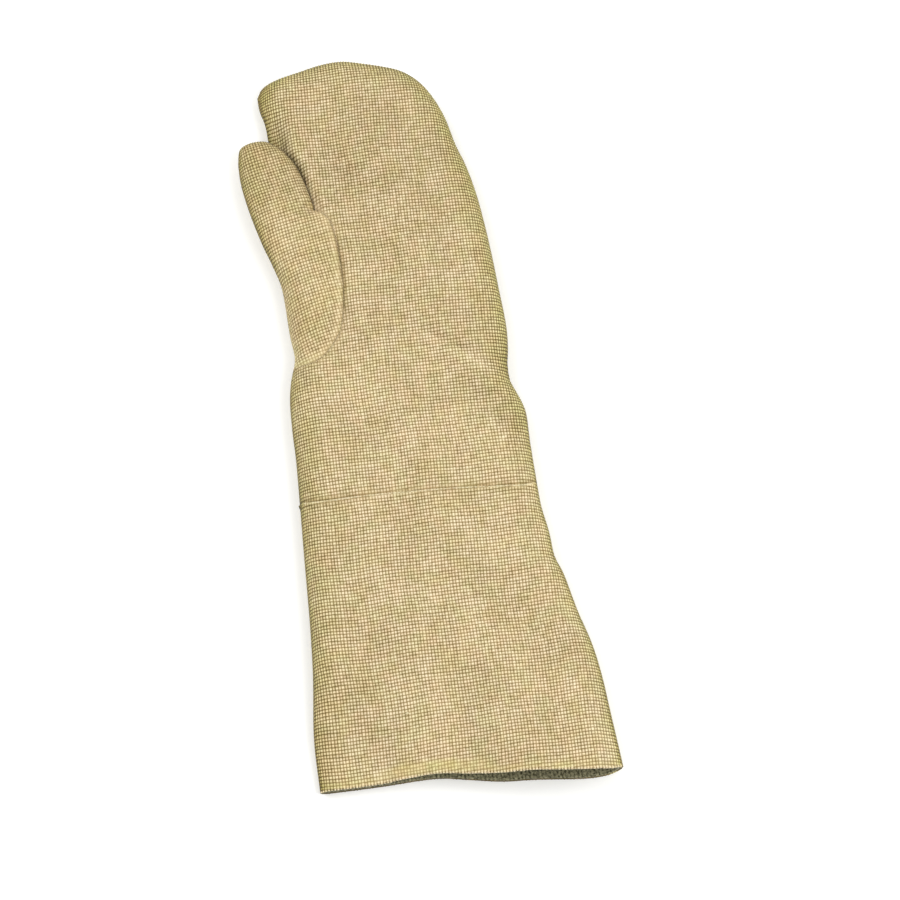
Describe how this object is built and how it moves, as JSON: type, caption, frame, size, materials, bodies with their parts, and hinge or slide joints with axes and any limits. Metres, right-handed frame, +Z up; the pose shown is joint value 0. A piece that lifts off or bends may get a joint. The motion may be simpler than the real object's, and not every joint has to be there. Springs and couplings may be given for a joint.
{
  "type": "gauntlet work mitten",
  "caption": "Long hollow work mitten with a flared cuff and a set-in thumb, lying palm up with its mouth standing open.",
  "frame": {"origin": "on the surface the mitten lies on, under the middle of its box", "axes": "+X across the palm away from the thumb, +Y along the threads from the cuff to the fingertips, +Z up out of the palm"},
  "size_m": [0.2311, 0.5839, 0.0379],
  "materials": {
    "cloth": "coarse plain weave, undyed straw yellow",
    "thumb_cloth": "the same weave, turned with the thumb",
    "cuff_cloth": "the same weave, with a pressed hem line",
    "felt": "coarse ribbed felt, dark grey green"
  },
  "bodies": {
    "root": {"palm_panel": "cloth", "back_panel": "cloth", "thumb": "thumb_cloth", "cuff": "cuff_cloth", "cuff_lining": "felt"}
  },
  "joints": []
}
